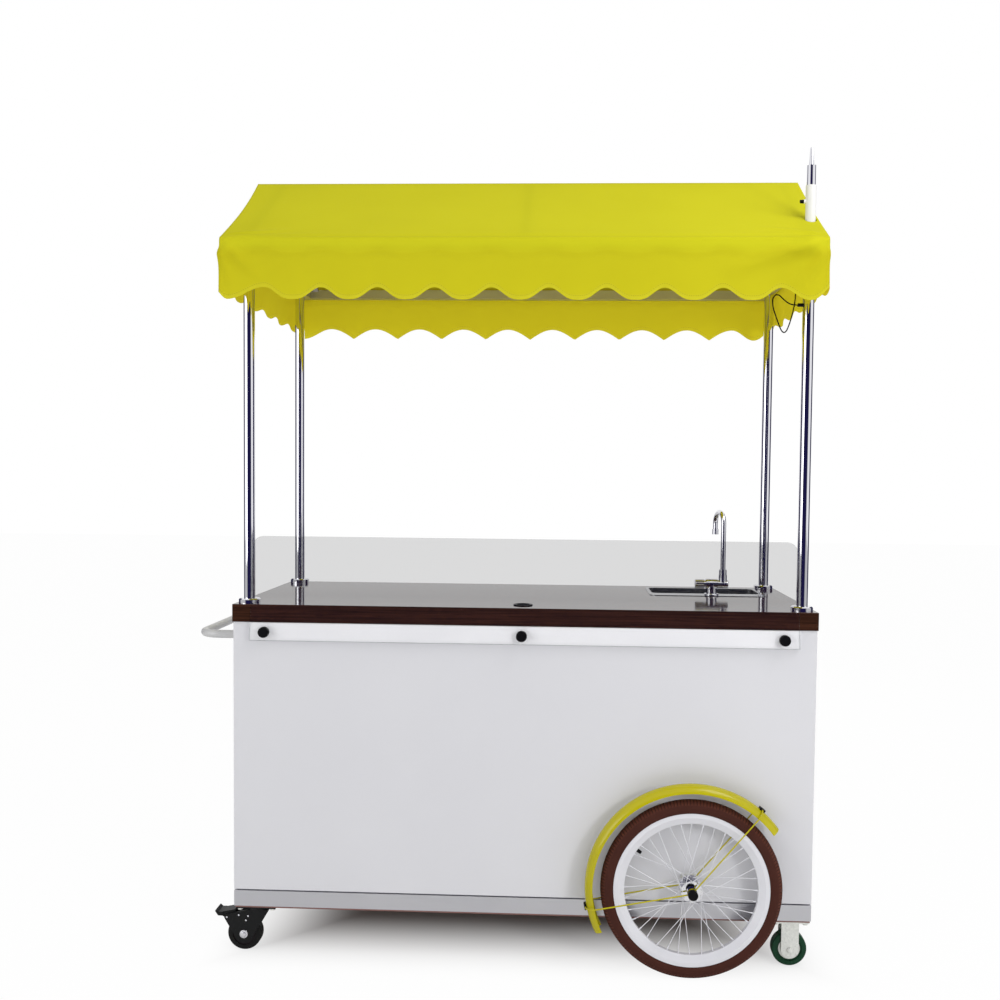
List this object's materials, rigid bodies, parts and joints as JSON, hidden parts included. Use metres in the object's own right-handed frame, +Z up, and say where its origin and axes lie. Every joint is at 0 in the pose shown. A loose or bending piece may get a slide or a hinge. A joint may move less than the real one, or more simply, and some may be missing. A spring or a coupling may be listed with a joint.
{
  "type": "food vending cart",
  "caption": "Wheeled food cart: panelled cabinet on casters and spoked wheels, sink counter with folding tap, clear guard and a ridged fabric canopy on posts.",
  "frame": {"origin": "on the floor, under the middle of the cart's outline", "axes": "+X along the counter to the sink end, +Y from the customer's side to the seller's side, +Z up"},
  "size_m": [1.806, 0.8876, 2.328],
  "materials": {
    "film_plywood": "film-faced",
    "trim_aluminium": "satin",
    "panel_board": "white laminate",
    "counter_laminate": "gloss wood laminate",
    "sink_steel": "brushed",
    "chrome": "polished",
    "handle_coat": "satin light grey",
    "clear_sheet": "clear",
    "white_strip": "satin white",
    "black_plastic": "satin black",
    "washer_nylon": "satin grey",
    "canopy_fabric": "coated woven",
    "frame_steel": "polished",
    "mast_plastic": "satin white",
    "cable_rubber": "matt",
    "wheel_white": "gloss white",
    "tyre_rubber": "matt red-brown",
    "guard_yellow": "gloss yellow",
    "zinc_steel": "zinc plated",
    "black_steel": "black e-coat",
    "black_rubber": "matt",
    "green_polymer": "satin dark green",
    "tank_plastic": "natural"
  },
  "bodies": {
    "cart": {"base_board": "film_plywood", "base_rails": "trim_aluminium", "front_panel": "panel_board", "end_panels": "panel_board", "rear_panel": "panel_board", "partition": "panel_board", "storage_shelf": "panel_board", "door_tracks": "trim_aluminium", "counter_top": "counter_laminate", "cable_grommet": "black_plastic", "sink_bowl": "sink_steel", "sink_drain": "sink_steel", "water_tanks": "tank_plastic", "faucet_base": "chrome", "guard_strip": "white_strip", "guard_sheet": "clear_sheet", "guard_washers": "washer_nylon", "canopy_posts": "chrome", "post_collars": "chrome", "canopy_frame": "frame_steel", "canopy_roof": "canopy_fabric", "canopy_valances": "canopy_fabric", "mast_sleeve": "mast_plastic", "mast_tube": "chrome", "cable_glands": "black_plastic", "lamp_cable": "cable_rubber", "wheel_axles": "zinc_steel", "axle_caps": "black_plastic", "mudguards": "guard_yellow", "mudguard_stays": "guard_yellow", "mudguard_clips": "black_plastic", "swivel_plates": "black_steel", "rigid_forks": "zinc_steel", "caster_bolts": "zinc_steel", "push_handle": "handle_coat"},
    "front_wheel": {"front_tyre": "tyre_rubber", "front_rim": "wheel_white", "front_spokes": "wheel_white", "front_hub": "chrome"},
    "rear_wheel": {"rear_tyre": "tyre_rubber", "rear_rim": "wheel_white", "rear_spokes": "wheel_white", "rear_hub": "chrome"},
    "front_swivel": {"front_fork": "black_steel"},
    "front_swivel_wheel": {"front_caster_wheel": "black_rubber"},
    "front_brake": {"front_pedal": "black_steel"},
    "rear_swivel": {"rear_fork": "black_steel"},
    "rear_swivel_wheel": {"rear_caster_wheel": "black_rubber"},
    "rear_brake": {"rear_pedal": "black_steel"},
    "front_rigid": {"front_rigid_wheel": "green_polymer"},
    "rear_rigid": {"rear_rigid_wheel": "green_polymer"},
    "tap_barrel": {"faucet_barrel": "chrome"},
    "tap_neck": {"faucet_spout": "chrome"},
    "tap_knob": {"faucet_knob": "chrome"},
    "knob_left": {"left_guard_knob": "black_plastic"},
    "knob_middle": {"middle_guard_knob": "black_plastic"},
    "knob_right": {"right_guard_knob": "black_plastic"},
    "clamp_screw": {"mast_screw": "black_plastic"},
    "door_left": {"left_door": "panel_board"},
    "door_right": {"right_door": "panel_board"}
  },
  "joints": [
    {"name": "front_wheel_spin", "type": "hinge", "parent": "cart", "child": "front_wheel", "pos_m": [0.552, -0.388, 0.254], "axis": [0, 1, 0], "continuous": true},
    {"name": "front_caster_swivel", "type": "hinge", "parent": "cart", "child": "front_swivel", "pos_m": [-0.704, -0.282, 0.12], "axis": [0, 0, 1], "continuous": true},
    {"name": "front_caster_roll", "type": "hinge", "parent": "front_swivel", "child": "front_swivel_wheel", "pos_m": [-0.744, -0.282, 0.05], "axis": [0, 1, 0], "continuous": true},
    {"name": "front_brake_press", "type": "hinge", "parent": "front_swivel", "child": "front_brake", "pos_m": [-0.794, -0.282, 0.1], "axis": [0, -1, 0], "range_deg": [0, 18]},
    {"name": "front_rigid_roll", "type": "hinge", "parent": "cart", "child": "front_rigid", "pos_m": [0.848, -0.282, 0.05], "axis": [0, 1, 0], "continuous": true},
    {"name": "rear_wheel_spin", "type": "hinge", "parent": "cart", "child": "rear_wheel", "pos_m": [0.552, 0.388, 0.254], "axis": [0, 1, 0], "continuous": true},
    {"name": "rear_caster_swivel", "type": "hinge", "parent": "cart", "child": "rear_swivel", "pos_m": [-0.704, 0.282, 0.12], "axis": [0, 0, 1], "continuous": true},
    {"name": "rear_caster_roll", "type": "hinge", "parent": "rear_swivel", "child": "rear_swivel_wheel", "pos_m": [-0.744, 0.282, 0.05], "axis": [0, 1, 0], "continuous": true},
    {"name": "rear_brake_press", "type": "hinge", "parent": "rear_swivel", "child": "rear_brake", "pos_m": [-0.794, 0.282, 0.1], "axis": [0, -1, 0], "range_deg": [0, 18]},
    {"name": "rear_rigid_roll", "type": "hinge", "parent": "cart", "child": "rear_rigid", "pos_m": [0.848, 0.282, 0.05], "axis": [0, 1, 0], "continuous": true},
    {"name": "tap_fold", "type": "hinge", "parent": "cart", "child": "tap_barrel", "pos_m": [0.658, 0.075, 1.0665], "axis": [1, 0, 0], "range_deg": [0, 90]},
    {"name": "tap_swing", "type": "hinge", "parent": "tap_barrel", "child": "tap_neck", "pos_m": [0.6933, 0.075, 1.0865], "axis": [0, 0, 1], "range_deg": [-80, 80]},
    {"name": "tap_turn", "type": "hinge", "parent": "tap_barrel", "child": "tap_knob", "pos_m": [0.628, 0.075, 1.0665], "axis": [1, 0, 0], "range_deg": [0, 90]},
    {"name": "left_knob_turn", "type": "hinge", "parent": "cart", "child": "knob_left", "pos_m": [-0.669, -0.352, 0.9532], "axis": [0, 1, 0], "continuous": true},
    {"name": "middle_knob_turn", "type": "hinge", "parent": "cart", "child": "knob_middle", "pos_m": [0.068, -0.352, 0.9532], "axis": [0, 1, 0], "continuous": true},
    {"name": "right_knob_turn", "type": "hinge", "parent": "cart", "child": "knob_right", "pos_m": [0.805, -0.352, 0.9532], "axis": [0, 1, 0], "continuous": true},
    {"name": "mast_clamp_turn", "type": "hinge", "parent": "cart", "child": "clamp_screw", "pos_m": [0.843, -0.295, 2.18], "axis": [1, 0, 0], "continuous": true},
    {"name": "left_door_slide", "type": "slide", "parent": "cart", "child": "door_left", "axis": [1, 0, 0], "range_m": [0, 0.46]},
    {"name": "right_door_slide", "type": "slide", "parent": "cart", "child": "door_right", "axis": [1, 0, 0], "range_m": [-0.46, 0]}
  ]
}
